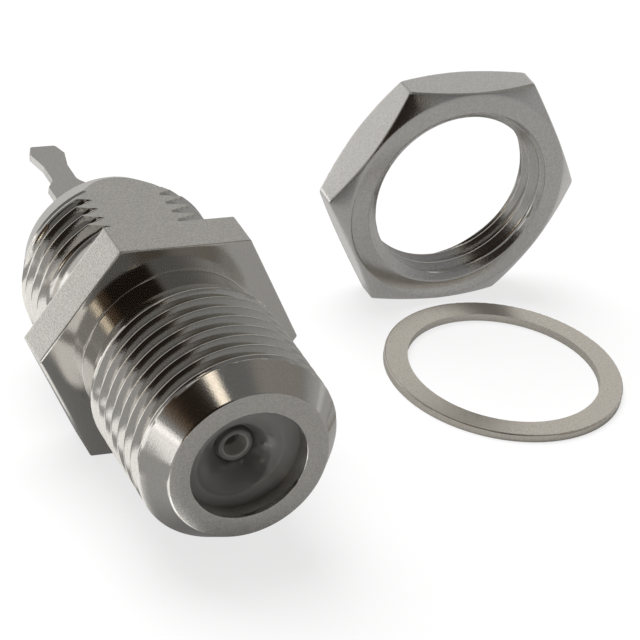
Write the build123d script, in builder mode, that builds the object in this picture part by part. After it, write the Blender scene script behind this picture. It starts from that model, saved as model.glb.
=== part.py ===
"""Panel-mount F connector with its solder tab, its hex nut and its flat washer.

The connector lies on a flat of its hex. Its axis runs along Y, its mating end
faces -Y and the solder tab leaves towards +Y. The origin is on the axis, in the
rear face of the hex, which is the face that seats on a panel. The nut and the
washer are taken off: the nut stands on one of its flats beside the connector,
and the washer lies flat in front of the nut. All sizes are in millimetres.
"""
import os
from math import cos, radians, tan

from build123d import *

# Thread of both barrels and of the nut: 3/8 inch, 32 threads to the inch.
# The barrels stand at the crest of the thread and the nut's hole at its own crest.
thread_major_radius = 4.7625
thread_depth = 0.4925          # the plain necks beside the hex are turned down by it
thread_gap = 0.09              # from the root of the barrels to the crest of the nut

# Hex flange of the shell
hex_across_flats = 11.11
hex_thickness = 2.15
edge_break = 0.08              # small break on turned edges

# Front barrel, from the hex to the mating face
front_length = 9.5
front_neck_length = 1.9
front_face_radius = 3.8
front_lead_length = 1.35       # axial length of the cone at the mating end
mouth_radius = 2.78
mouth_depth = 0.9              # from the mating face to the front insulator
mouth_ledge = 0.32             # step behind the mouth that the insulator seats on

# Rear barrel, behind the panel
rear_length = 7.1
rear_neck_length = 2.0
rear_face_radius = 3.8
rear_lead_length = 2.25
flat_height = 3.93             # axis to the keying flat on top of the rear barrel
lip_reach = 0.4                # how far the rolled rear lip covers the insulator
lip_thickness = 0.35
lip_round = 0.25
insert_gap = 0.03              # clearance of a moulded insert in its bore

# Front insulator: a dished face with a raised hub round the wire hole
ring_width = 0.78              # flat ring round the dish, inside the mouth
dish_depth = 0.95
dish_sag = 0.12                # how far the dish bows below a straight cone
dish_edge_round = 0.1
hub_radius = 0.8
hub_draft = 0.12               # how much wider the hub is at its foot
hub_height = 0.25              # hub above the bottom of the dish
hub_round = 0.1
wire_hole_radius = 0.57
wire_funnel_width = 0.06
wire_funnel_depth = 0.06
wire_hole_length = 0.9
chamber_radius = 2.0           # room for the contact inside the front insulator
insulator_split = 3.4          # Y of the joint between the two insulators

# Centre contact, pressed from one strip: two springs, a folded base and a tab
strip_thickness = 0.35
strip_bend_radius = 0.3        # inside of each sharp bend
spring_bend_radius = 2.5       # of the gentle bends of the springs
spring_gap = 0.5               # between the springs at their throat
spring_mouth_gap = 1.5         # between their flared ends
spring_end_width = 1.3
spring_end_gap = 0.25          # from the flared ends to the end of the chamber
flare_length = 1.5
base_width = 2.7
base_height = 2.2              # over both plates of the folded base
base_length = 3.4
shoulder_length = 0.6          # wide stretch that stops against the rear insulator
step_length = 1.3              # axial length of the step from the shoulder to the base
tab_offset = 0.2               # the tab's middle stands this far above the axis
tab_shift = 0.2                # and this far towards +X
tab_root_width = 2.1
tab_root_reach = 5.0           # this and the reaches below start at the rear face
tab_neck_width = 1.25
tab_neck_start = 5.55
tab_neck_end = 6.9
tab_head_width = 1.79
tab_head_reach = 8.1
tab_tip_width = 1.3
tab_reach = 8.85
tab_neck_round = 0.6
tab_corner_round = 0.15
slot_gap = 0.05                # clearance round the tab in the rear insulator

# Nut
nut_across_flats = 12.0
nut_thickness = 2.4
nut_face_inset = 0.15          # from the flats in to where the corner chamfer meets each face
nut_chamfer_angle = 30
nut_countersink_margin = 0.1375    # of the countersink's rim past the thread
nut_countersink_depth = 0.32

# Washer
washer_gap = 0.0875            # round the thread that passes through it
washer_width = 1.17            # of the ring, from its bore to its outer edge
washer_thickness = 0.4
washer_edge_round = 0.08

# Where the two loose pieces lie
nut_place = (19.5, 9.0)        # X and Y of the nut's middle
washer_x = 19.8
washer_spacing = 1.03          # from the front of the nut to the washer

# Places that follow from the sizes above
floor_z = -hex_across_flats / 2
thread_root_radius = thread_major_radius - thread_depth
mating_y = -hex_thickness - front_length
insulator_y = mating_y + mouth_depth
lip_y = rear_length - lip_thickness
seat_bore_radius = mouth_radius + mouth_ledge    # bore that holds both insulators
insert_radius = seat_bore_radius - insert_gap
lip_radius = seat_bore_radius - lip_reach
dish_radius = mouth_radius - ring_width
wire_funnel_radius = wire_hole_radius + wire_funnel_width
hub_foot = (hub_radius + hub_draft, insulator_y + dish_depth)
hub_y = insulator_y + dish_depth - hub_height
chamber_y = hub_y + wire_hole_length

os.makedirs("parts", exist_ok=True)

# Shell: turned barrels, through bore and rolled rear lip, on one hex flange
with BuildPart() as shell:
    with BuildSketch(Plane.XY):
        with BuildLine():
            Polyline(
                (mouth_radius, mating_y),
                (front_face_radius, mating_y),
                (thread_major_radius, mating_y + front_lead_length),
                (thread_major_radius, -hex_thickness - front_neck_length - thread_depth),
                (thread_root_radius, -hex_thickness - front_neck_length),
                (thread_root_radius, rear_neck_length),
                (thread_major_radius, rear_neck_length + thread_depth),
                (thread_major_radius, rear_length - rear_lead_length),
                (rear_face_radius, rear_length),
                (lip_radius, rear_length),
                (lip_radius, lip_y),
                (seat_bore_radius, lip_y),
                (seat_bore_radius, insulator_y),
                (mouth_radius, insulator_y),
                close=True,
            )
        make_face()
    revolve(axis=Axis.Y)
    end_edges = shell.edges().filter_by(GeomType.CIRCLE).group_by(Axis.Y)
    chamfer(end_edges[0], length=edge_break)
    end_edges = shell.edges().filter_by(GeomType.CIRCLE).group_by(Axis.Y)
    fillet(end_edges[-1], radius=lip_round)
    # keying flat along the whole rear barrel
    with BuildSketch(Plane.XY.offset(flat_height)):
        with Locations((0, rear_length / 2)):
            Rectangle(2 * thread_major_radius, rear_length)
    extrude(amount=thread_depth + thread_major_radius, mode=Mode.SUBTRACT)
    # hex flange
    with BuildSketch(Plane.XZ):
        RegularPolygon(hex_across_flats / 2, 6, major_radius=False)
        Circle(seat_bore_radius, mode=Mode.SUBTRACT)
    extrude(amount=hex_thickness)
shell.part.label = "shell"

# Front insulator: moulded, with a chamber behind the wire hole
with BuildPart() as front_insulator:
    with BuildSketch(Plane.XY):
        with BuildLine():
            Polyline(
                hub_foot,
                (hub_radius, hub_y),
                (wire_funnel_radius, hub_y),
                (wire_hole_radius, hub_y + wire_funnel_depth),
                (wire_hole_radius, chamber_y),
                (chamber_radius, chamber_y),
                (chamber_radius, insulator_split),
                (insert_radius, insulator_split),
                (insert_radius, insulator_y),
                (dish_radius, insulator_y),
            )
            SagittaArc((dish_radius, insulator_y), hub_foot, dish_sag)
        make_face()
    revolve(axis=Axis.Y)
    rims = front_insulator.edges().filter_by(GeomType.CIRCLE)
    hub_rim = rims.filter_by(lambda rim: abs(rim.radius - hub_radius) < hub_draft / 2)
    fillet(hub_rim, radius=hub_round)
    rims = front_insulator.edges().filter_by(GeomType.CIRCLE)
    dish_rim = rims.filter_by(lambda rim: abs(rim.radius - dish_radius) < dish_edge_round / 2)
    fillet(dish_rim.sort_by(Axis.Y)[0], radius=dish_edge_round)
front_insulator.part.label = "front_insulator"

# Rear insulator: plug with the slot that the tab leaves through
with BuildPart() as rear_insulator:
    with BuildSketch(Plane.XZ.offset(-insulator_split)):
        Circle(insert_radius)
        with Locations((tab_shift, tab_offset)):
            Rectangle(
                tab_root_width + 2 * slot_gap,
                strip_thickness + 2 * slot_gap,
                mode=Mode.SUBTRACT,
            )
    extrude(amount=insulator_split - lip_y)
rear_insulator.part.label = "rear_insulator"

# Where the bends and ends of the centre contact lie
plate_z = (base_height - strip_thickness) / 2
base_rear_y = insulator_split - shoulder_length - step_length
base_front_y = base_rear_y - base_length
spring_end_y = chamber_y + spring_end_gap
throat_y = spring_end_y + flare_length
throat_z = (spring_gap + strip_thickness) / 2
spring_end_z = (spring_mouth_gap + strip_thickness) / 2
bend_radius = strip_bend_radius + strip_thickness / 2
tab_end_y = rear_length + tab_reach
trim = strip_thickness         # strips start this far past the outline that trims them

# Outline of the solder tab, about its own middle line
with BuildSketch() as tab_outline:
    with BuildLine():
        Polyline(
            (0, base_rear_y),
            (tab_root_width / 2, base_rear_y),
            (tab_root_width / 2, rear_length + tab_root_reach),
            (tab_neck_width / 2, rear_length + tab_neck_start),
            (tab_neck_width / 2, rear_length + tab_neck_end),
            (tab_head_width / 2, rear_length + tab_head_reach),
            (tab_tip_width / 2, tab_end_y),
            (0, tab_end_y),
        )
        mirror(about=Plane.YZ)
    make_face()
    corners = tab_outline.vertices().group_by(Axis.Y)
    fillet(corners[-1] + corners[-2], radius=tab_corner_round)
    neck_start_y = rear_length + tab_neck_start - edge_break
    neck_end_y = rear_length + tab_neck_end + edge_break
    corners = tab_outline.vertices().filter_by_position(Axis.Y, neck_start_y, neck_end_y)
    fillet(corners, radius=tab_neck_round)

# Centre contact, first as strips seen from the side, then trimmed in plan
with BuildPart() as centre_contact:
    with BuildSketch(Plane.YZ):
        with BuildLine():
            FilletPolyline(
                (tab_end_y + trim, tab_offset),
                (insulator_split - shoulder_length, tab_offset),
                (base_rear_y, plate_z),
                (base_front_y, plate_z),
                (throat_y, throat_z),
                (spring_end_y, spring_end_z),
                radius=[bend_radius, bend_radius, spring_bend_radius, bend_radius],
            )
        trace(line_width=strip_thickness)
        with BuildLine():
            FilletPolyline(
                (base_rear_y, -plate_z),
                (base_front_y, -plate_z),
                (throat_y, -throat_z),
                (spring_end_y, -spring_end_z),
                radius=[spring_bend_radius, bend_radius],
            )
        trace(line_width=strip_thickness)
    extrude(amount=base_width, both=True)
    with BuildSketch(Plane.XY):
        with BuildLine():
            Polyline(
                (0, spring_end_y),
                (spring_end_width / 2, spring_end_y),
                (base_width / 2, base_front_y),
                (base_width / 2, insulator_split),
                (0, insulator_split),
            )
            mirror(about=Plane.YZ)
        make_face()
        # the tab stands to one side of the base
        with Locations((tab_shift, 0)):
            add(tab_outline.sketch)
        # the folded side replaces this edge of both plates
        with Locations((-base_width / 2, (base_front_y + base_rear_y) / 2)):
            Rectangle(2 * (strip_thickness + strip_bend_radius), base_length, mode=Mode.SUBTRACT)
    extrude(amount=base_height, both=True, mode=Mode.INTERSECT)
    # folded side that joins the upper and the lower plate
    side_x = (strip_thickness - base_width) / 2
    with BuildSketch(Plane.XZ.offset(-base_rear_y)):
        with BuildLine():
            FilletPolyline(
                (base_width / 2, plate_z),
                (side_x, plate_z),
                (side_x, -plate_z),
                (base_width / 2, -plate_z),
                radius=bend_radius,
            )
        trace(line_width=strip_thickness)
    extrude(amount=base_length)
centre_contact.part.label = "centre_contact"

# Mounting nut, standing on a flat with its axis along Y
nut_centre = (nut_place[0], nut_place[1], floor_z + nut_across_flats / 2)
nut_corner_radius = nut_across_flats / 2 / cos(radians(30))
nut_face_radius = nut_across_flats / 2 - nut_face_inset
nut_crest_radius = thread_root_radius + thread_gap
nut_countersink_radius = thread_major_radius + nut_countersink_margin
nut_half = nut_thickness / 2
corner_drop = (nut_corner_radius - nut_face_radius) * tan(radians(nut_chamfer_angle))

with BuildPart() as mounting_nut:
    with BuildSketch(Plane(origin=nut_centre, x_dir=(1, 0, 0), z_dir=(0, -1, 0))):
        RegularPolygon(nut_across_flats / 2, 6, major_radius=False)
    extrude(amount=nut_half, both=True)
    # corner chamfers of both faces, and the countersunk hole
    with BuildSketch(Plane(origin=nut_centre)):
        with BuildLine():
            Polyline(
                (nut_countersink_radius, -nut_half),
                (nut_face_radius, -nut_half),
                (nut_corner_radius, corner_drop - nut_half),
                (nut_corner_radius, nut_half - corner_drop),
                (nut_face_radius, nut_half),
                (nut_countersink_radius, nut_half),
                (nut_crest_radius, nut_half - nut_countersink_depth),
                (nut_crest_radius, nut_countersink_depth - nut_half),
                close=True,
            )
        make_face()
    revolve(axis=Axis(nut_centre, (0, 1, 0)), mode=Mode.INTERSECT)
mounting_nut.part.label = "mounting_nut"

# Flat washer, lying on the floor in front of the nut
washer_bore_radius = thread_major_radius + washer_gap
washer_outer_radius = washer_bore_radius + washer_width
washer_y = nut_place[1] - nut_half - washer_spacing - washer_outer_radius

with BuildPart() as flat_washer:
    with BuildSketch(Plane(origin=(washer_x, washer_y, floor_z))):
        Circle(washer_outer_radius)
        Circle(washer_bore_radius, mode=Mode.SUBTRACT)
    extrude(amount=washer_thickness)
    # the punched blank is rounded on its upper outer edge
    upper_edges = flat_washer.edges().group_by(Axis.Z)[-1]
    fillet(upper_edges.sort_by(SortBy.RADIUS)[-1], radius=washer_edge_round)
flat_washer.part.label = "flat_washer"

export_step(shell.part, "parts/shell.step")
export_step(front_insulator.part, "parts/front_insulator.step")
export_step(rear_insulator.part, "parts/rear_insulator.step")
export_step(centre_contact.part, "parts/centre_contact.step")
export_step(mounting_nut.part, "parts/mounting_nut.step")
export_step(flat_washer.part, "parts/flat_washer.step")
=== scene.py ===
"""Looks of a panel-mount F connector with its hex nut and flat washer.

The shell and the nut are built here with their real right-hand threads, in the
place of the plain solids. The insulators, the centre contact and the washer keep
their solids and get their finish. Sizes are in millimetres and become metres in
the meshes. The connector's axis is the Y axis, and its mating end faces -Y.
"""

import math

import bmesh
import bpy
import numpy as np
from mathutils import Matrix, Vector


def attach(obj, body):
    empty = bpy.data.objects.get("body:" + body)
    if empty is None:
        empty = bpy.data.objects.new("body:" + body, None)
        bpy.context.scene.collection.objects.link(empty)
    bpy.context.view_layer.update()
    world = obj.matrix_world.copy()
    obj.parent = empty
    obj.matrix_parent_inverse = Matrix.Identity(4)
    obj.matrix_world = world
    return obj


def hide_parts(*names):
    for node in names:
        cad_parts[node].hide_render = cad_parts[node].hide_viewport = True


MM = 0.001
PER_METRE = 1000.0
TURN = 2 * math.pi

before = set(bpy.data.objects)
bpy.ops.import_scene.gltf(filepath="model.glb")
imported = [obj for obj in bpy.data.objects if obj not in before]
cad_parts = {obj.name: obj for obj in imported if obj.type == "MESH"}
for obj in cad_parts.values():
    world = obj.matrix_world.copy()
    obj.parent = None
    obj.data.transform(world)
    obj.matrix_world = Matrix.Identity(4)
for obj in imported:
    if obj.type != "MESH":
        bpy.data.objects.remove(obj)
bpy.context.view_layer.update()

# Thread of both barrels and of the nut, 3/8 inch with 32 threads to the inch
THREAD_PITCH = 25.4 / 32
THREAD_MAJOR = 4.7625
THREAD_ROOT = 4.27
NUT_CREST = 4.36
NUT_ROOT = 4.8
FRONT_CREST_Y = -10.0           # a crest of each thread, straight above the axis
REAR_CREST_Y = 2.96
NUT_CREST_Y = 0.15              # from the nut's middle

# Shell: hex flange
HEX_ACROSS_FLATS = 11.11
HEX_THICKNESS = 2.15
HEX_CORNER_ROUND = 0.12
HEX_EDGE_ROUND = 0.07
HEX_COVE = 0.07                 # small cove that joins each face to its neck

# Shell: front barrel
MATING_Y = -11.65
FRONT_FACE_RADIUS = 3.8
FRONT_CONE_Y = -10.3
FRONT_NECK_Y = -3.4
FRONT_NECK_RISE = 0.47          # slope from the neck up to the thread's first crest
MOUTH_RADIUS = 2.78
INSULATOR_Y = -10.75
SEAT_BORE_RADIUS = 3.1
FRONT_FACE_ROUND = 0.07
MOUTH_ROUND = 0.06
FRONT_RUNOUT = ((-10.32, -10.05, -4.6, -4.44),      # places along Y
                (0, 1, 1, 0))                       # share of the groove's full depth there

# Shell: rear barrel
REAR_Y = 7.1
REAR_FACE_RADIUS = 3.8
REAR_CONE_Y = 4.85
REAR_NECK_Y = 2.4
REAR_NECK_RISE = 2.0
FLAT_HEIGHT = 3.93
LIP_RADIUS = 2.7
LIP_Y = 6.75
LIP_ROUND = 0.24
REAR_EDGE_ROUND = 0.08

# Shell: mesh. The barrels end inside the hex
BARREL_COLUMNS = 216
FRONT_END_Y = -1.2
REAR_END_Y = -1.0
RIM_LENGTH = 0.1                # plain edge between a thread and the end of its barrel
FACED_DEPTH = 0.005             # what lies this near the mating face is faced off
HEX_INNER_RADIUS = 3.87
NECK_CLEARANCE = 0.002          # keeps the coves clear of the necks
OUTER_BAND = 0.15               # narrow faces beside the hexagon's outer edges
INNER_BAND = 0.2                # and beside its coves

# Front insulator: the chamber behind its dish
CHAMBER_Y = -9.3
CHAMBER_RADIUS = 2.0

# Nut, standing on one of its flats, and the floor that everything rests on
FLOOR_Z = -HEX_ACROSS_FLATS / 2
NUT_ACROSS_FLATS = 12.0
NUT_THICKNESS = 2.4
NUT_CENTRE = (19.5, 9.0, FLOOR_Z + NUT_ACROSS_FLATS / 2)
NUT_CORNER_ROUND = 0.2
NUT_FACE_RADIUS = 5.85
NUT_CHAMFER_ANGLE = 30
NUT_COUNTERSINK_RADIUS = 4.9
NUT_COUNTERSINK_DEPTH = 0.32
NUT_EDGE_ROUND = 0.12
NUT_SINK_ROUND = 0.06
NUT_RIM_LENGTH = 0.08
NUT_COLUMNS = 360

# Meshes: what counts as one point, and as an edge
WELD_DISTANCE = 2e-5
CUT_DISTANCE = 1e-5
SHORTEST_EDGE = 1e-6

# Places of the materials on the shell's mesh, after the bright one
MILLED, FACED = 1, 2

# Looks
NICKEL = (0.66, 0.64, 0.605)
EDGE_NICKEL = (0.80, 0.76, 0.69)
EDGE_TURN = "edge turn"         # attribute: how far the surface turns at a vertex, in degrees
LIGHTER_EDGE_TURN = (6.0, 20.0)         # the colour begins to lighten at the first and is fully lighter at the second
LIGHTER_EDGE_SCALE = 9000.0
BUMP_DISTANCE = 0.00001
HOLLOW_PAINTED_SHADE = 0.72          # painted shade on the plastic: a darker disc over the hollow behind the dish
HOLLOW_EDGE = 0.06              # how far its border blurs to either side
HOLE_EDGE = (0.66, 0.60)        # radius where the wire hole's colour begins and is full
# painted light in the wire hole: a paler colour than the plastic, and a faint glow
HOLE_PAINTED_LIGHT = (0.30, 0.29, 0.27)
HOLE_PAINTED_GLOW = (0.022, 0.0215, 0.02)
PAPER = (0.2, 0.2, 0.2)
MIRRORED_PAPER = (0.20, 0.198, 0.195)
PAPER_GLOW = (0.75, 0.75, 0.75)

# Studio, in metres
FLOOR_SIDE = 3.0
LAMP_AIM = Vector((0.008, 0, 0))
SENSOR_WIDTH = 36
FOCAL_LENGTH_PIXELS = 3500
PHOTO_WIDTH_PIXELS = 640
CAMERA_PLACE = Vector((-60.31, -124.19, 85.47))     # in millimetres
CAMERA_RIGHT = Vector((0.9052, -0.3967, 0.1525))
CAMERA_FORWARD = Vector((0.415, 0.7475, -0.5187))


# Meshes of turned, threaded and hexagonal pieces

def column_angles(count):
    """Even angles round the axis, from +Z towards +X."""
    return np.arange(count) * TURN / count


def hex_column_angles():
    """Angles for a hexagon: every 3 degrees, and finer at its corners."""
    even = np.arange(0, 360, 3)
    near_corner = np.array([-1.2, -0.6, -0.4, -0.2, 0.2, 0.4, 0.6, 1.2])
    corners = np.arange(30, 360, 60)[:, None] + near_corner
    return np.radians(np.unique(np.concatenate([even, corners.ravel()])))


def hex_radius(angles, across_flats, corner_round):
    """Distance from the axis to a hexagon with rounded corners and one flat on top."""
    apothem = across_flats / 2
    from_flat = (angles + math.pi / 6) % (math.pi / 3) - math.pi / 6
    sharp = apothem / np.cos(from_flat)
    # inside the corner's rounding the outline is a circle about this centre
    centre = (apothem - corner_round) / math.cos(math.pi / 6)
    from_corner = math.pi / 6 - np.abs(from_flat)
    reach = centre * np.cos(from_corner)
    inside = np.maximum(corner_round**2 - (centre * np.sin(from_corner))**2, 0)
    rounded = reach + np.sqrt(inside)
    touch = math.atan2((apothem - corner_round) * math.tan(math.pi / 6), apothem)
    return np.where(np.abs(from_flat) > touch, np.minimum(sharp, rounded), sharp)


def rounded_section(angles, corners, steps=3):
    """Columns of a section, one (radius, y) for each angle, with its corners rounded.

    Each corner has a radius and a y, as numbers or as arrays over the angles, and how far
    its rounding reaches.
    """
    section = [np.stack([np.broadcast_to(radius, angles.shape), np.broadcast_to(y, angles.shape)],
                        axis=1) for radius, y, size in corners]
    rounds = [size for radius, y, size in corners]
    softened = [section[0]]
    for before, corner, after, size in zip(section, section[1:], section[2:], rounds[1:-1]):
        if not size:
            softened.append(corner)
            continue
        start, end = before - corner, after - corner
        start_length = np.linalg.norm(start, axis=1, keepdims=True)
        end_length = np.linalg.norm(end, axis=1, keepdims=True)
        # neighbouring roundings never meet
        start = corner + start / start_length * np.minimum(size, 0.45 * start_length)
        end = corner + end / end_length * np.minimum(size, 0.45 * end_length)
        for t in np.linspace(0, 1, steps + 1):
            softened.append((1 - t)**2 * start + 2 * t * (1 - t) * corner + t**2 * end)
    softened.append(section[-1])
    return softened


def around_axis(angles, radius, y):
    """Points at a radius and a y, for each angle round the Y axis."""
    return np.stack([radius * np.sin(angles), y, radius * np.cos(angles)], axis=-1)


def add_rings(bm, angles, section):
    """Adds the surface that a section sweeps round the axis, closed all the way round."""
    rings = [[bm.verts.new(p) for p in around_axis(angles, ring[:, 0], ring[:, 1])]
             for ring in section]
    count = len(angles)
    for lower, upper in zip(rings, rings[1:]):
        for i in range(count):
            j = (i + 1) % count
            bm.faces.new((lower[i], lower[j], upper[j], upper[i]))


# Half of a 60 degree thread, its crest and root slightly rounded: distances from the
# middle of the crest, in pitches, and the share of the full depth at each
PROFILE_PLACES = (0.0, 0.022, 0.042, 0.065, 0.355, 0.40, 0.45, 0.5)
PROFILE_DEPTHS = (0.0, 0.0, 0.02, 0.08, 0.94, 0.985, 1.0, 1.0)

# Where the mesh has its rows in each pitch
THREAD_ROWS = np.array([-0.5, -0.45, -0.40, -0.355, -0.26, -0.16, -0.065, -0.042, -0.022,
                        0.022, 0.042, 0.065, 0.16, 0.26, 0.355, 0.40, 0.45])


def thread_profile(phase, crest, root):
    """Radius of the thread at a phase of its pitch, 0 on the crest."""
    away = np.abs((phase + 0.5) % 1 - 0.5)
    return crest + (root - crest) * np.interp(away, PROFILE_PLACES, PROFILE_DEPTHS)


def add_thread(bm, angles, crest, root, start_y, end_y, phase_y, limit, runout=None):
    """Adds a right-hand threaded surface between two ends.

    Rows run along the helix, so that crests and roots are true lines. limit(y) gives the
    turned outline that the thread was cut in, and the thread never passes it. runout holds
    places along Y and the share of its full depth that the groove has at each.
    """
    outward = crest > root
    rows_per_turn = len(THREAD_ROWS)
    first = math.floor((start_y - phase_y) / THREAD_PITCH) - 2
    last = math.ceil((end_y - phase_y) / THREAD_PITCH) + 2
    phases = np.concatenate([turn + THREAD_ROWS for turn in range(first, last)])
    vertices = []
    for phase in phases:
        y = np.clip(phase_y + (phase + angles / TURN) * THREAD_PITCH, start_y, end_y)
        bound = limit(y)
        depth = crest - thread_profile(phase, crest, root)
        share = np.interp(y, *runout) if runout else 1.0
        cut = np.full_like(y, crest) - depth * share
        radius = np.minimum(cut, bound) if outward else np.maximum(cut, bound)
        vertices.append([bm.verts.new(p) for p in around_axis(angles, radius, y)])
    count = len(angles)
    for row in range(len(phases) - 1):
        for i in range(count - 1):
            bm.faces.new((vertices[row][i], vertices[row][i + 1],
                          vertices[row + 1][i + 1], vertices[row + 1][i]))
        # one turn on, the helix meets the row that lies a whole pitch further
        if row + 1 + rows_per_turn < len(phases):
            bm.faces.new((vertices[row][-1], vertices[row + rows_per_turn][0],
                          vertices[row + 1 + rows_per_turn][0], vertices[row + 1][-1]))


def weld(bm):
    """Joins vertices that coincide, drops faces without area and turns all faces outwards."""
    bmesh.ops.remove_doubles(bm, verts=bm.verts, dist=WELD_DISTANCE)
    bmesh.ops.dissolve_degenerate(bm, edges=bm.edges, dist=SHORTEST_EDGE)
    bmesh.ops.recalc_face_normals(bm, faces=bm.faces)


def cut_flat(bm, height):
    """Mills a flat across the top of what is in bm."""
    cut = bmesh.ops.bisect_plane(bm, geom=bm.verts[:] + bm.edges[:] + bm.faces[:],
                                 dist=CUT_DISTANCE, plane_co=(0, 0, height),
                                 plane_no=(0, 0, 1), clear_outer=True)
    edges = [e for e in cut["geom_cut"] if isinstance(e, bmesh.types.BMEdge)]
    bmesh.ops.contextual_create(bm, geom=edges)
    # the milled faces are the only ones with more than four corners
    flats = [f for f in bm.faces if len(f.verts) > 4]
    for face in flats:
        face.material_index = MILLED
        for edge in face.edges:
            edge.smooth = False
    bmesh.ops.triangulate(bm, faces=flats)


def make_piece(name, parts, place, materials, sharp_angle=32):
    """Joins bmesh parts into one object at its place, all in millimetres.

    Edges that turn by more than the sharp angle, in degrees, stay sharp.
    """
    mesh = bpy.data.meshes.new(name)
    joined = bmesh.new()
    for part in parts:
        scratch = bpy.data.meshes.new("scratch")
        part.to_mesh(scratch)
        joined.from_mesh(scratch)
        bpy.data.meshes.remove(scratch)
        part.free()
    for face in joined.faces:
        face.smooth = True
    # how far the surface turns outwards at each vertex, in degrees, for the lighter edges
    turn = joined.verts.layers.float.new(EDGE_TURN)
    for edge in joined.edges:
        angle = math.degrees(edge.calc_face_angle_signed(0))
        if abs(angle) > sharp_angle:
            edge.smooth = False
        for vertex in edge.verts:
            vertex[turn] = max(vertex[turn], angle)
    joined.to_mesh(mesh)
    joined.free()
    mesh.transform(Matrix.Scale(MM, 4) @ Matrix.Translation(place))
    for material in materials:
        mesh.materials.append(material)
    piece = bpy.data.objects.new(name, mesh)
    bpy.context.scene.collection.objects.link(piece)
    # flat faces stay flat up to their rounded edges
    flatten = piece.modifiers.new("flat faces", "WEIGHTED_NORMAL")
    flatten.keep_sharp = True
    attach(piece, "root")
    return piece


def front_barrel():
    """Threaded barrel in front of the hex, with its mouth, closed inside the hex."""
    bm = bmesh.new()
    angles = column_angles(BARREL_COLUMNS)
    slope = (THREAD_MAJOR - FRONT_FACE_RADIUS) / (FRONT_CONE_Y - MATING_Y)
    rim_y = MATING_Y + RIM_LENGTH

    def turned(y):
        cone = FRONT_FACE_RADIUS + slope * (y - MATING_Y)
        neck = THREAD_ROOT + FRONT_NECK_RISE * np.maximum(FRONT_NECK_Y - y, 0)
        return np.minimum(np.minimum(cone, neck), THREAD_MAJOR)

    add_thread(bm, angles, THREAD_MAJOR, THREAD_ROOT, rim_y, FRONT_END_Y, FRONT_CREST_Y,
               turned, FRONT_RUNOUT)
    add_rings(bm, angles, rounded_section(angles, [
        (FRONT_FACE_RADIUS + slope * (rim_y - MATING_Y), rim_y, 0),
        (FRONT_FACE_RADIUS, MATING_Y, FRONT_FACE_ROUND),
        (MOUTH_RADIUS, MATING_Y, MOUTH_ROUND),
        (MOUTH_RADIUS, INSULATOR_Y, 0),
        (SEAT_BORE_RADIUS, INSULATOR_Y, 0),
        (SEAT_BORE_RADIUS, FRONT_END_Y, 0),
        (THREAD_ROOT, FRONT_END_Y, 0),
    ]))
    weld(bm)
    for face in bm.faces:
        if face.calc_center_median().y < MATING_Y + FACED_DEPTH:
            face.material_index = FACED
    return bm


def rear_barrel():
    """Threaded barrel behind the hex, with its keying flat and rolled rear lip."""
    bm = bmesh.new()
    angles = column_angles(BARREL_COLUMNS)
    slope = (THREAD_MAJOR - REAR_FACE_RADIUS) / (REAR_Y - REAR_CONE_Y)
    rim_y = REAR_Y - RIM_LENGTH

    def turned(y):
        cone = REAR_FACE_RADIUS + slope * (REAR_Y - y)
        neck = THREAD_ROOT + REAR_NECK_RISE * np.maximum(y - REAR_NECK_Y, 0)
        return np.minimum(np.minimum(cone, neck), THREAD_MAJOR)

    add_thread(bm, angles, THREAD_MAJOR, THREAD_ROOT, REAR_END_Y, rim_y, REAR_CREST_Y, turned)
    add_rings(bm, angles, rounded_section(angles, [
        (THREAD_ROOT, REAR_END_Y, 0),
        (SEAT_BORE_RADIUS, REAR_END_Y, 0),
        (SEAT_BORE_RADIUS, LIP_Y, 0),
        (LIP_RADIUS, LIP_Y, REAR_EDGE_ROUND),
        (LIP_RADIUS, REAR_Y, LIP_ROUND),
        (REAR_FACE_RADIUS, REAR_Y, REAR_EDGE_ROUND),
        (REAR_FACE_RADIUS + slope * (REAR_Y - rim_y), rim_y, 0),
    ], steps=5))
    weld(bm)
    cut_flat(bm, FLAT_HEIGHT)
    return bm


def hex_flange():
    """The hexagon between the barrels, its edges broken very slightly."""
    bm = bmesh.new()
    angles = hex_column_angles()
    outline = hex_radius(angles, HEX_ACROSS_FLATS, HEX_CORNER_ROUND)
    neck = THREAD_ROOT + NECK_CLEARANCE
    # the keying flat reaches up to the hex; 60 degrees from the top the neck is round anyway
    flat = FLAT_HEIGHT / np.maximum(np.cos(angles), 0.5) + NECK_CLEARANCE
    rear_neck = np.minimum(neck, flat)
    add_rings(bm, angles, rounded_section(angles, [
        (HEX_INNER_RADIUS, -HEX_THICKNESS - HEX_COVE, 0),
        (neck, -HEX_THICKNESS - HEX_COVE, 0),
        (neck, -HEX_THICKNESS, 2 * HEX_COVE),
        (neck + INNER_BAND, -HEX_THICKNESS, 0),
        (outline - OUTER_BAND, -HEX_THICKNESS, 0),
        (outline, -HEX_THICKNESS, HEX_EDGE_ROUND),
        (outline, -HEX_THICKNESS + OUTER_BAND, 0),
        (outline, -OUTER_BAND, 0),
        (outline, 0, HEX_EDGE_ROUND),
        (outline - OUTER_BAND, 0, 0),
        (rear_neck + INNER_BAND, 0, 0),
        (rear_neck, 0, 2 * HEX_COVE),
        (rear_neck, HEX_COVE, 0),
        (HEX_INNER_RADIUS, HEX_COVE, 0),
        (HEX_INNER_RADIUS, -HEX_THICKNESS - HEX_COVE, 0),
    ]))
    weld(bm)
    # the six sides are milled; the inner wall, hidden in the shell, isn't
    for face in bm.faces:
        middle = face.calc_center_median()
        radius = math.hypot(middle.x, middle.z)
        if abs(face.normal.y) < 0.5 and radius > HEX_INNER_RADIUS + INNER_BAND:
            face.material_index = MILLED
    return bm


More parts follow.
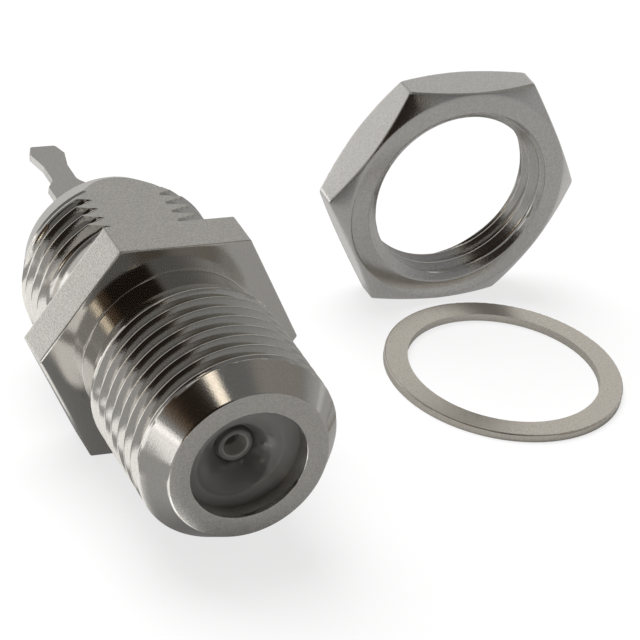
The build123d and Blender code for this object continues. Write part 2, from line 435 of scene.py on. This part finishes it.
def nut_body():
    """Hex nut with chamfered corners, countersunk on both faces, and its inner thread."""
    bm = bmesh.new()
    angles = column_angles(NUT_COLUMNS)
    half = NUT_THICKNESS / 2
    outline = hex_radius(angles, NUT_ACROSS_FLATS, NUT_CORNER_ROUND)
    chamfer_y = half - (outline - NUT_FACE_RADIUS) * math.tan(math.radians(NUT_CHAMFER_ANGLE))
    sink_slope = (NUT_COUNTERSINK_RADIUS - NUT_CREST) / NUT_COUNTERSINK_DEPTH
    rim_y = half - NUT_RIM_LENGTH

    def sunk(y):
        depth = np.maximum(np.abs(y) - half + NUT_COUNTERSINK_DEPTH, 0)
        return NUT_CREST + depth * sink_slope

    add_thread(bm, angles, NUT_CREST, NUT_ROOT, -rim_y, rim_y, NUT_CREST_Y, sunk)
    rim_radius = NUT_COUNTERSINK_RADIUS - (half - rim_y) * sink_slope
    add_rings(bm, angles, rounded_section(angles, [
        (rim_radius, -rim_y, 0),
        (NUT_COUNTERSINK_RADIUS, -half, NUT_SINK_ROUND),
        (NUT_FACE_RADIUS, -half, NUT_EDGE_ROUND),
        (outline, -chamfer_y, NUT_EDGE_ROUND),
        (outline, chamfer_y, NUT_EDGE_ROUND),
        (NUT_FACE_RADIUS, half, NUT_EDGE_ROUND),
        (NUT_COUNTERSINK_RADIUS, half, NUT_SINK_ROUND),
        (rim_radius, rim_y, 0),
    ], steps=4))
    weld(bm)
    return bm


# Node trees

def add_node(tree, kind, inputs=None, **settings):
    """Adds a node with its settings, sets unlinked inputs to numbers and links the rest."""
    node = tree.nodes.new(kind)
    for key, value in settings.items():
        setattr(node, key, value)
    for key, value in (inputs or {}).items():
        socket = node.inputs[key]
        if isinstance(value, bpy.types.NodeSocket):
            tree.links.new(value, socket)
        else:
            socket.default_value = value
    return node


def math_node(tree, operation, first, second=0.5, clamp=False):
    """The result of one operation on two numbers or sockets."""
    node = add_node(tree, "ShaderNodeMath", {0: first, 1: second}, operation=operation,
                    use_clamp=clamp)
    return node.outputs[0]


def product(tree, first, *others):
    """All the given numbers and sockets times each other."""
    for other in others:
        first = math_node(tree, "MULTIPLY", first, other)
    return first


def total(tree, first, *others):
    """The sum of all the given numbers and sockets."""
    for other in others:
        first = math_node(tree, "ADD", first, other)
    return first


def ramp(tree, value, start, end, smooth=False, low=0.0, high=1.0):
    """Goes from low to high while the value goes from start to end, and stays level outside."""
    node = add_node(tree, "ShaderNodeMapRange",
                    {"Value": value, "From Min": start, "From Max": end,
                     "To Min": low, "To Max": high},
                    interpolation_type="SMOOTHSTEP" if smooth else "LINEAR")
    return node.outputs[0]


def mix_colour(tree, below, above, share):
    """One colour over another by a share. Colours are sockets or (red, green, blue)."""
    node = add_node(tree, "ShaderNodeMix", {"Factor": share}, data_type="RGBA")
    for label, colour in (("A", below), ("B", above)):
        if isinstance(colour, bpy.types.NodeSocket):
            tree.links.new(colour, node.inputs[label])
        else:
            node.inputs[label].default_value = (*colour, 1)
    return node.outputs["Result"]


def grey(tree, level):
    """A grey colour of one level."""
    return add_node(tree, "ShaderNodeCombineColor",
                    {"Red": level, "Green": level, "Blue": level}).outputs[0]


def object_place(tree):
    """Where a point lies on its own object, in metres."""
    return tree.nodes.new("ShaderNodeTexCoord").outputs["Object"]


def split(tree, vector):
    """The X, Y and Z of a vector."""
    return add_node(tree, "ShaderNodeSeparateXYZ", {0: vector}).outputs


def distance_from_axis(tree, x, z):
    """Length of the line from the Y axis to an x and a z."""
    return math_node(tree, "SQRT", total(tree, product(tree, x, x), product(tree, z, z)))


def new_group(name, inputs, outputs):
    """A shader node group with named float inputs and outputs."""
    tree = bpy.data.node_groups.new(name, "ShaderNodeTree")
    for label, value in inputs.items():
        socket = tree.interface.new_socket(label, in_out="INPUT", socket_type="NodeSocketFloat")
        socket.default_value = value
    for label in outputs:
        tree.interface.new_socket(label, in_out="OUTPUT", socket_type="NodeSocketFloat")
    given = tree.nodes.new("NodeGroupInput").outputs
    return tree, given, tree.nodes.new("NodeGroupOutput").inputs


def plating_grain():
    """Fine frosting of a plated surface, and slow clouds in its brightness."""
    tree, given, out = new_group("plating grain", {"Grain Size mm": 0.06, "Cloud Size mm": 2.0},
                                 ("Grain", "Clouds"))
    where = object_place(tree)
    for label, size, detail in (("Grain", "Grain Size mm", 3.0), ("Clouds", "Cloud Size mm", 4.0)):
        scale = math_node(tree, "DIVIDE", PER_METRE, given[size])
        noise = add_node(tree, "ShaderNodeTexNoise",
                         {"Vector": where, "Scale": scale, "Detail": detail, "Roughness": 0.6})
        tree.links.new(noise.outputs["Fac"], out[label])
    return tree


def turning_marks():
    """Fine grooves that a lathe tool leaves round the Y axis, on ends, cones and barrels."""
    tree, given, out = new_group("turning marks", {"Spacing mm": 0.05}, ("Height",))
    where = split(tree, object_place(tree))
    along = total(tree, distance_from_axis(tree, where["X"], where["Z"]), where["Y"])
    steps = math_node(tree, "DIVIDE", product(tree, along, PER_METRE), given["Spacing mm"])
    noise = add_node(tree, "ShaderNodeTexNoise",
                     {"W": steps, "Scale": 1.0, "Detail": 3.0, "Roughness": 0.7},
                     noise_dimensions="1D")
    tree.links.new(noise.outputs["Fac"], out["Height"])
    return tree


def lighter_edge_mask():
    """Where the colour is lighter: at the outward edges of threads and hexagons, with ragged
    borders.
    """
    tree, given, out = new_group("lighter edges", {"Amount": 1.0}, ("Lighter",))
    turned = add_node(tree, "ShaderNodeAttribute", attribute_name=EDGE_TURN).outputs["Fac"]
    sharp = ramp(tree, turned, *LIGHTER_EDGE_TURN)
    noise = add_node(tree, "ShaderNodeTexNoise",
                     {"Vector": object_place(tree), "Scale": LIGHTER_EDGE_SCALE, "Detail": 2.0})
    ragged = ramp(tree, noise.outputs["Fac"], 0.4, 0.65)
    lightened = product(tree, sharp, ragged)
    tree.links.new(math_node(tree, "MULTIPLY", lightened, given["Amount"], clamp=True), out["Lighter"])
    return tree


def from_axis():
    """Distance from the connector's axis, or from a line beside it, in millimetres."""
    tree, given, out = new_group("distance from the axis",
                                 {"Centre X mm": 0.0, "Centre Z mm": 0.0}, ("Radius mm",))
    where = split(tree, object_place(tree))
    x = math_node(tree, "SUBTRACT", where["X"], product(tree, given["Centre X mm"], MM))
    z = math_node(tree, "SUBTRACT", where["Z"], product(tree, given["Centre Z mm"], MM))
    radius = product(tree, distance_from_axis(tree, x, z), PER_METRE)
    tree.links.new(radius, out["Radius mm"])
    return tree


def new_material(name):
    """An empty material: returns it with its node tree and its Principled BSDF."""
    material = bpy.data.materials.new(name)
    material.use_nodes = True
    tree = material.node_tree
    return material, tree, tree.nodes["Principled BSDF"]


def place_group(tree, group, **values):
    """Places a group with its inputs set. Spaces in their names are written as underscores."""
    node = tree.nodes.new("ShaderNodeGroup")
    node.node_tree = group
    for key, value in values.items():
        node.inputs[key.replace("_", " ")].default_value = value
    return node


def plated_metal(name, colour, edge_colour, roughness, grain, marks, grain_size, cloud, speckle,
                 edge_amount=0.5):
    """Nickel or tin plate: metal with grain, speckle, tool marks, slow clouds, brighter edges."""
    material, tree, surface = new_material(name)
    frost = place_group(tree, GRAIN, Grain_Size_mm=grain_size, Cloud_Size_mm=1.8)
    lathe = place_group(tree, TURNING, Spacing_mm=0.045)
    edge_lightening = place_group(tree, LIGHTER_EDGES, Amount=edge_amount)
    darker = tuple(c * (1 - speckle) for c in colour)
    spots = ramp(tree, frost.outputs["Grain"], 0.36, 0.64)
    mottle = math_node(tree, "ADD", product(tree, spots, 0.75),
                       product(tree, frost.outputs["Clouds"], 0.35), clamp=True)
    tint = mix_colour(tree, darker, colour, mottle)
    tint = mix_colour(tree, tint, edge_colour, edge_lightening.outputs["Lighter"])
    tree.links.new(tint, surface.inputs["Base Color"])
    clouds = math_node(tree, "SUBTRACT", frost.outputs["Clouds"], 0.5)
    spread = math_node(tree, "ADD", product(tree, clouds, 2 * cloud), roughness, clamp=True)
    tree.links.new(spread, surface.inputs["Roughness"])
    surface.inputs["Metallic"].default_value = 1.0
    height = total(tree, product(tree, frost.outputs["Grain"], grain),
                   product(tree, lathe.outputs["Height"], marks))
    bump = add_node(tree, "ShaderNodeBump",
                    {"Height": height, "Strength": 1.0, "Distance": BUMP_DISTANCE})
    tree.links.new(bump.outputs["Normal"], surface.inputs["Normal"])
    return material


def moulded_plastic(name, colour, shade, roughness, milky, hollow=None):
    """Natural moulded plastic: faint flow clouds, a wavy skin, a soft gloss and a milky depth.

    hollow is the radius, the X and the Z of the hollow behind the dish: over it the dish gets
    painted shade, a darker disc, and the wire hole and the chamber get painted light, a paler
    colour and a faint glow.
    """
    material, tree, surface = new_material(name)
    frost = place_group(tree, GRAIN, Grain_Size_mm=0.12, Cloud_Size_mm=1.2)
    tint = mix_colour(tree, shade, colour, frost.outputs["Clouds"])
    if hollow:
        size, x, z = hollow
        radius = place_group(tree, RADIUS).outputs["Radius mm"]
        shifted = place_group(tree, RADIUS, Centre_X_mm=x, Centre_Z_mm=z).outputs["Radius mm"]
        # painted shade: the dish is darker over the hollow, where the thin wall lets it show
        # through
        painted_shade_disc = ramp(tree, shifted, size + HOLLOW_EDGE, size - HOLLOW_EDGE)
        tint = mix_colour(tree, tint, tuple(c * HOLLOW_PAINTED_SHADE for c in shade), painted_shade_disc)
        # painted light: the wire hole is paler than the plastic round it
        hole = ramp(tree, radius, *HOLE_EDGE)
        tint = mix_colour(tree, tint, HOLE_PAINTED_LIGHT, hole)
        # painted light: a faint glow in the hole and in the chamber behind it, for the little
        # light that comes through the milky wall
        depth = split(tree, object_place(tree))["Y"]
        behind = math_node(tree, "GREATER_THAN", depth, CHAMBER_Y * MM)
        chamber = product(tree, behind, math_node(tree, "LESS_THAN", radius, CHAMBER_RADIUS))
        inside = math_node(tree, "MAXIMUM", hole, chamber)
        glow = mix_colour(tree, (0, 0, 0), HOLE_PAINTED_GLOW, inside)
        tree.links.new(glow, surface.inputs["Emission Color"])
        surface.inputs["Emission Strength"].default_value = 1.0
    tree.links.new(tint, surface.inputs["Base Color"])
    clouds = math_node(tree, "SUBTRACT", frost.outputs["Clouds"], 0.5)
    gloss = total(tree, product(tree, clouds, 0.15), roughness)
    tree.links.new(gloss, surface.inputs["Roughness"])
    surface.inputs["IOR"].default_value = 1.5
    surface.inputs["Subsurface Weight"].default_value = milky
    surface.inputs["Subsurface Radius"].default_value = (1.0, 0.97, 0.9)
    surface.inputs["Subsurface Scale"].default_value = 0.8 * MM
    bump = add_node(tree, "ShaderNodeBump", {"Height": frost.outputs["Grain"], "Strength": 0.4,
                                             "Distance": BUMP_DISTANCE})
    tree.links.new(bump.outputs["Normal"], surface.inputs["Normal"])
    return material


def floor_spot(tree, where, x, y, inner, outer):
    """1 inside a round spot of the floor, 0 outside, in millimetres."""
    centre = (x * MM, y * MM, FLOOR_Z * MM)
    away = add_node(tree, "ShaderNodeVectorMath", {0: where, 1: centre},
                    operation="DISTANCE").outputs["Value"]
    return ramp(tree, away, outer * MM, inner * MM, smooth=True)


def floor_step(tree, value, start, end):
    """Rises smoothly from 0 to 1 between two places, in millimetres."""
    return ramp(tree, value, start * MM, end * MM, smooth=True)


def painted_mirrored_floor(tree):
    """How bright the floor is in polished metal: painted light and shade on the floor that only
    reflections see, a grey level with bright strips, a spot and a grey band.
    """
    where = object_place(tree)
    place = split(tree, where)
    x, y = place["X"], place["Y"]
    # painted light: a bright strip on the left, narrower in front, where the front thread's flanks
    # mirror it
    in_front = floor_step(tree, y, -8, -10)
    left_edge = math_node(tree, "SUBTRACT", x, product(tree, in_front, 1.6 * MM))
    under = product(tree, floor_step(tree, x, -3.0, -4.4), floor_step(tree, y, -4.0, -5.5))
    right = math_node(tree, "MAXIMUM", floor_step(tree, x, -4.5, -6.2), under)
    strip = product(tree, right, floor_step(tree, left_edge, -11.8, -10.8))
    near = product(tree, strip, floor_step(tree, y, -20, -18.5))
    # painted light: another strip further left
    behind = math_node(tree, "SUBTRACT", y, product(tree, x, 0.5))
    far = product(tree, floor_step(tree, x, -17, -20), floor_step(tree, behind, -11, -8))
    # painted shade: a grey band across the strip, which the cone at the mating end mirrors
    slant = math_node(tree, "SUBTRACT", y, product(tree, x, 0.2))
    painted_shade_band = product(tree, floor_step(tree, slant, -10.7, -10.2),
                   floor_step(tree, slant, -8.4, -8.9))
    lit = product(tree, total(tree, near, far), math_node(tree, "SUBTRACT", 1.0, painted_shade_band))
    # painted light: the floor is brighter behind the part and at a spot in front of the mating end
    backdrop = floor_step(tree, y, 2, 10)
    rim_light = floor_spot(tree, where, -3, -14.5, 1.4, 2.6)
    return total(tree, product(tree, lit, 0.8), product(tree, backdrop, 0.2), rim_light, 0.15)


def white_floor():
    """Plain white floor: the background is white, and the object's shadow stays on it."""
    material, tree, surface = new_material("white floor")
    surface.inputs["Base Color"].default_value = (0.8, 0.8, 0.8, 1)
    surface.inputs["Roughness"].default_value = 0.9
    surface.inputs["Specular IOR Level"].default_value = 0.0
    seen = tree.nodes.new("ShaderNodeLightPath").outputs
    mirrored = seen["Is Glossy Ray"]
    through = math_node(tree, "MAXIMUM", mirrored, seen["Is Transmission Ray"])
    looked_at = math_node(tree, "MAXIMUM", seen["Is Camera Ray"], through)
    plain = math_node(tree, "SUBTRACT", 1.0, mirrored)
    # paper that is lit by the lamp and glows: together they are white where no shadow falls
    # glossy rays see the floor's painted light and shade; all other rays see its plain glow
    colour = mix_colour(tree, grey(tree, painted_mirrored_floor(tree)), PAPER_GLOW, plain)
    paper = add_node(tree, "ShaderNodeBsdfDiffuse",
                     {"Color": mix_colour(tree, PAPER, MIRRORED_PAPER, mirrored)})
    glow = add_node(tree, "ShaderNodeEmission", {"Color": colour, "Strength": 1.0})
    lit = add_node(tree, "ShaderNodeAddShader", {0: paper.outputs[0], 1: glow.outputs[0]})
    mix = add_node(tree, "ShaderNodeMixShader",
                   {0: looked_at, 1: surface.outputs[0], 2: lit.outputs[0]})
    tree.links.new(mix.outputs[0], tree.nodes["Material Output"].inputs["Surface"])
    return material


# Studio

def lay_floor():
    """A large square of paper under everything."""
    mesh = bpy.data.meshes.new("floor")
    side, z = FLOOR_SIDE / 2, FLOOR_Z * MM
    corners = [(-side, -side, z), (side, -side, z), (side, side, z), (-side, side, z)]
    mesh.from_pydata(corners, [], [(0, 1, 2, 3)])
    mesh.materials.append(white_floor())
    floor = bpy.data.objects.new("floor", mesh)
    bpy.context.scene.collection.objects.link(floor)


def towards(azimuth, elevation):
    """Direction away from the part. Azimuth 0 is behind it and 90 on its right, in degrees."""
    a, e = math.radians(azimuth), math.radians(elevation)
    return Vector((math.sin(a) * math.cos(e), math.cos(a) * math.cos(e), math.sin(e)))


def hang_lamp(name, azimuth, elevation, distance, size, strength):
    """Square soft lamp that looks at the part.

    It lights plastic and floor. What metal mirrors is the dome and the floor.
    """
    away = towards(azimuth, elevation)
    light = bpy.data.lights.new(name, "AREA")
    light.shape = "SQUARE"
    light.size = size
    light.energy = strength
    lamp = bpy.data.objects.new(name, light)
    bpy.context.scene.collection.objects.link(lamp)
    lamp.location = LAMP_AIM + away * distance
    lamp.rotation_euler = away.to_track_quat("Z", "Y").to_euler()
    lamp.visible_glossy = False


def dome_patch(tree, direction, azimuth, elevation, radius, softness):
    """1 inside a round patch of the studio round the part, 0 outside, in degrees."""
    centre = tuple(towards(azimuth, elevation))
    near = add_node(tree, "ShaderNodeVectorMath", {0: direction, 1: centre},
                    operation="DOT_PRODUCT").outputs["Value"]
    return ramp(tree, near, math.cos(math.radians(radius + softness / 2)),
                math.cos(math.radians(radius - softness / 2)), smooth=True)


# What polished metal mirrors round the part, each patch over those before it:
# azimuth, elevation, radius and softness in degrees, and colour
DOME_PATCHES = (
    (-145, 22, 34, 5, (0.14, 0.095, 0.06)),         # brown border of the dark side
    (-147, 25, 31, 2, (0.020, 0.015, 0.011)),       # dark side, where the camera stands
    (-143, 61, 5.5, 3, (1.6, 1.44, 1.22)),          # warm light above it
    (-104, -8, 15, 5, (1.6, 1.58, 1.56)),           # white card low on the left
    (-137, 12, 6, 5, (0.15, 0.10, 0.065)),          # brown glow low in the dark side
    (-139, 3, 4, 2, (1.6, 1.42, 1.15)),             # warm light at its foot
    (178, 27, 1.4, 1, (0.7, 0.6, 0.46)),            # small warm light in front
    (31, 32, 20, 20, (0.54, 0.535, 0.525)),         # pale wall behind, on the right
    (-40, 8, 22, 14, (0.70, 0.69, 0.68)),           # paler wall behind, on the left
    (104, 42, 24, 20, (0.28, 0.265, 0.245)),        # grey wall on the right
    (0, 90, 14, 14, (0.13, 0.115, 0.10)),           # dim ceiling
)


def studio_world():
    """Soft studio all round the part: light behind it, grey in front, dark where the camera is."""
    world = bpy.data.worlds.new("studio")
    bpy.context.scene.world = world
    world.use_nodes = True
    tree = world.node_tree
    direction = tree.nodes.new("ShaderNodeTexCoord").outputs["Generated"]
    parts = split(tree, direction)
    from_behind = ramp(tree, parts["Y"], 0.0, 0.75, smooth=True, low=0.17, high=0.44)
    near_floor = ramp(tree, parts["Z"], 0.6, 0.0, smooth=True, high=0.23)
    colour = grey(tree, total(tree, from_behind, near_floor))
    for *place, patch_colour in DOME_PATCHES:
        colour = mix_colour(tree, colour, patch_colour, dome_patch(tree, direction, *place))
    seen = tree.nodes.new("ShaderNodeLightPath").outputs["Is Camera Ray"]
    colour = mix_colour(tree, colour, (1, 1, 1), seen)
    tree.links.new(colour, tree.nodes["Background"].inputs["Color"])


def place_camera():
    """Camera at the photograph's viewing angle, found from the outlines of hex and barrels."""
    lens = bpy.data.cameras.new("camera")
    lens.sensor_width = SENSOR_WIDTH
    lens.lens = SENSOR_WIDTH * FOCAL_LENGTH_PIXELS / PHOTO_WIDTH_PIXELS
    lens.clip_start = 0.01
    lens.clip_end = 10
    camera = bpy.data.objects.new("camera", lens)
    bpy.context.scene.collection.objects.link(camera)
    right, forward = CAMERA_RIGHT.normalized(), CAMERA_FORWARD.normalized()
    up = right.cross(forward).normalized()
    right = forward.cross(up)
    turn = Matrix((right, up, -forward)).transposed()
    camera.matrix_world = Matrix.Translation(CAMERA_PLACE * MM) @ turn.to_4x4()
    bpy.context.scene.camera = camera


GRAIN = plating_grain()
TURNING = turning_marks()
LIGHTER_EDGES = lighter_edge_mask()
RADIUS = from_axis()

bright_nickel = plated_metal("bright nickel", NICKEL, EDGE_NICKEL, roughness=0.09, grain=0.20,
                             marks=0.08, grain_size=0.08, cloud=0.02, speckle=0.14)
milled_nickel = plated_metal("milled nickel", NICKEL, EDGE_NICKEL, roughness=0.24, grain=0.6,
                             marks=0.0, grain_size=0.09, cloud=0.03, speckle=0.30,
                             edge_amount=0.0)
faced_nickel = plated_metal("faced nickel", NICKEL, EDGE_NICKEL, roughness=0.27, grain=0.5,
                            marks=0.06, grain_size=0.08, cloud=0.03, speckle=0.24)
nut_nickel = plated_metal("nut nickel", (0.76, 0.745, 0.72), (0.84, 0.81, 0.77),
                          roughness=0.17, grain=0.4, marks=0.0, grain_size=0.08,
                          cloud=0.03, speckle=0.22)
washer_nickel = plated_metal("washer nickel", (0.88, 0.83, 0.745), (0.88, 0.82, 0.73),
                             roughness=0.26, grain=0.5, marks=0.0, grain_size=0.09,
                             cloud=0.03, speckle=0.2)
tinned_bronze = plated_metal("tinned bronze", (0.63, 0.615, 0.59), (0.70, 0.68, 0.65),
                             roughness=0.40, grain=0.5, marks=0.0, grain_size=0.09,
                             cloud=0.03, speckle=0.2)
grey_plastic = moulded_plastic("smoky plastic", (0.22, 0.215, 0.205), (0.18, 0.177, 0.17),
                               roughness=0.10, milky=0.6, hollow=(1.8, -0.27, -0.39))
rear_plastic = moulded_plastic("off-white plastic", (0.62, 0.61, 0.56), (0.55, 0.54, 0.50),
                               roughness=0.45, milky=0.3)

shell = make_piece("threaded_shell", [front_barrel(), rear_barrel(), hex_flange()], (0, 0, 0),
                   [bright_nickel, milled_nickel, faced_nickel])
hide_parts("shell")
nut = make_piece("threaded_nut", [nut_body()], NUT_CENTRE, [nut_nickel],
                 sharp_angle=40)
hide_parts("mounting_nut")

for node, material in (("front_insulator", grey_plastic), ("rear_insulator", rear_plastic),
                       ("centre_contact", tinned_bronze), ("flat_washer", washer_nickel)):
    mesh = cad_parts[node].data
    mesh.materials.clear()
    mesh.materials.append(material)

lay_floor()
hang_lamp("key", azimuth=-20, elevation=64, distance=0.8, size=0.6, strength=9.0)
studio_world()
place_camera()

scene = bpy.context.scene
scene.view_settings.view_transform = "Standard"
